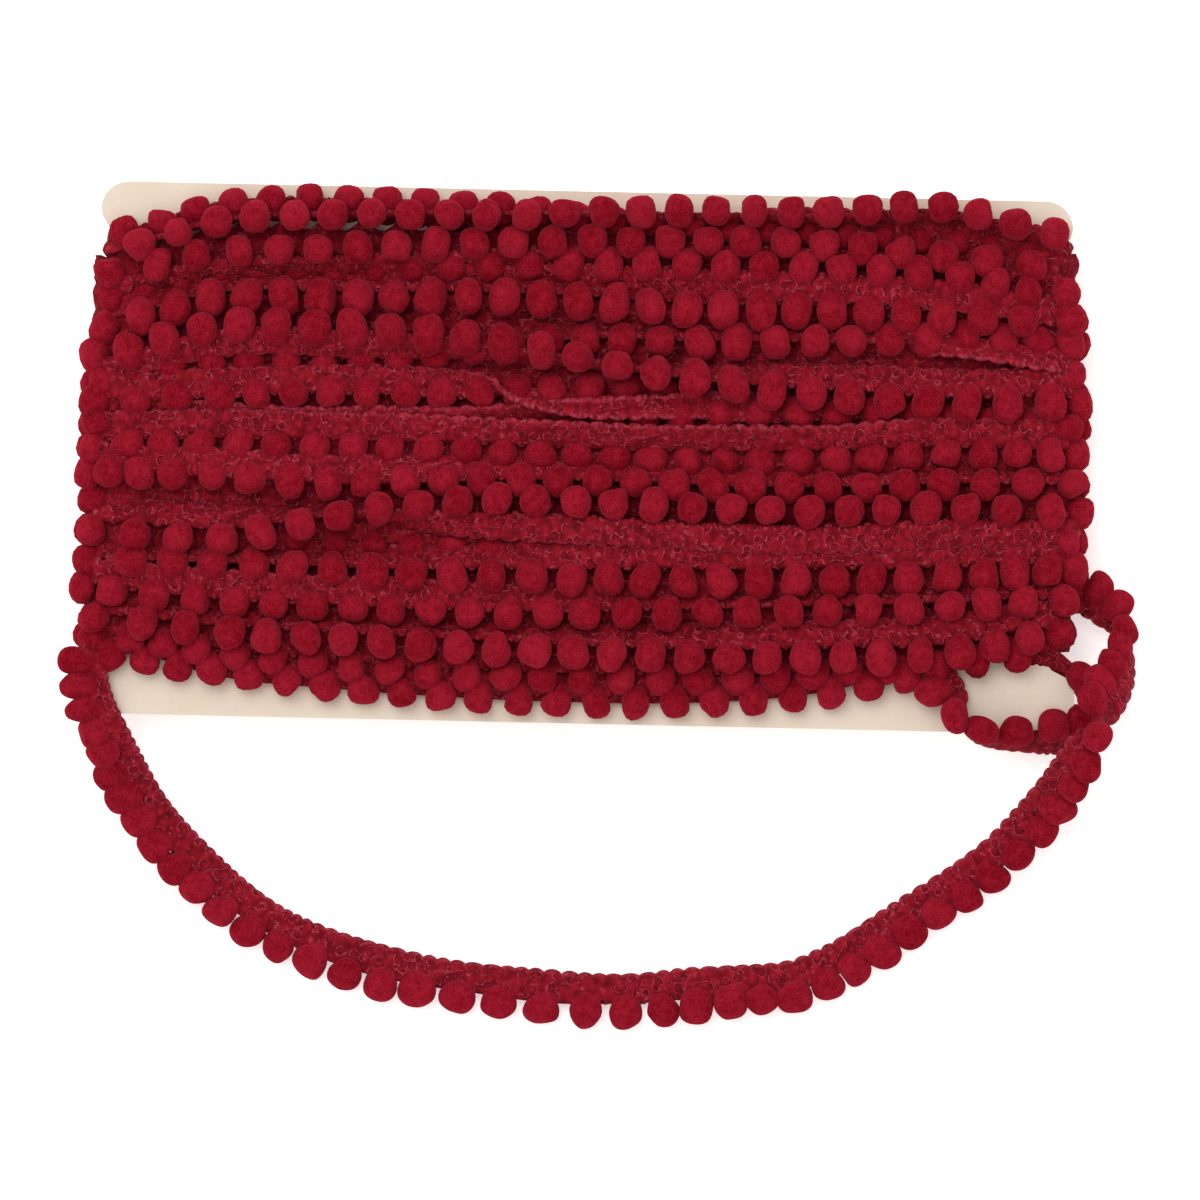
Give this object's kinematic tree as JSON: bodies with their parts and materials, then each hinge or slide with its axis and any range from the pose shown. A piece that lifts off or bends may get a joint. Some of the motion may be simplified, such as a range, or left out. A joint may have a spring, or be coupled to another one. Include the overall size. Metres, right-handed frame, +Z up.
{
  "type": "pompom fringe trim wound on a card",
  "caption": "Crimson pompom fringe trim wound lengthwise round a flat ivory board card, with a long loose loop and a small slack loop at one edge.",
  "frame": {"origin": "on the surface that the pack rests on, under the middle of the card", "axes": "+X along the card's length, the way the turns run; +Y towards the card's upper edge, away from the loose loop; +Z up, out of the front of the pack"},
  "size_m": [0.1989, 0.1546, 0.0259],
  "materials": {
    "trim": "matte, short velvety pile on the balls and a knitted band",
    "board": "smooth uncoated ivory board"
  },
  "bodies": {
    "root": {"card": "board", "wound_trim": "trim", "loose_band": "trim", "loose_balls": "trim", "small_loop_band": "trim", "small_loop_balls": "trim"}
  },
  "joints": []
}
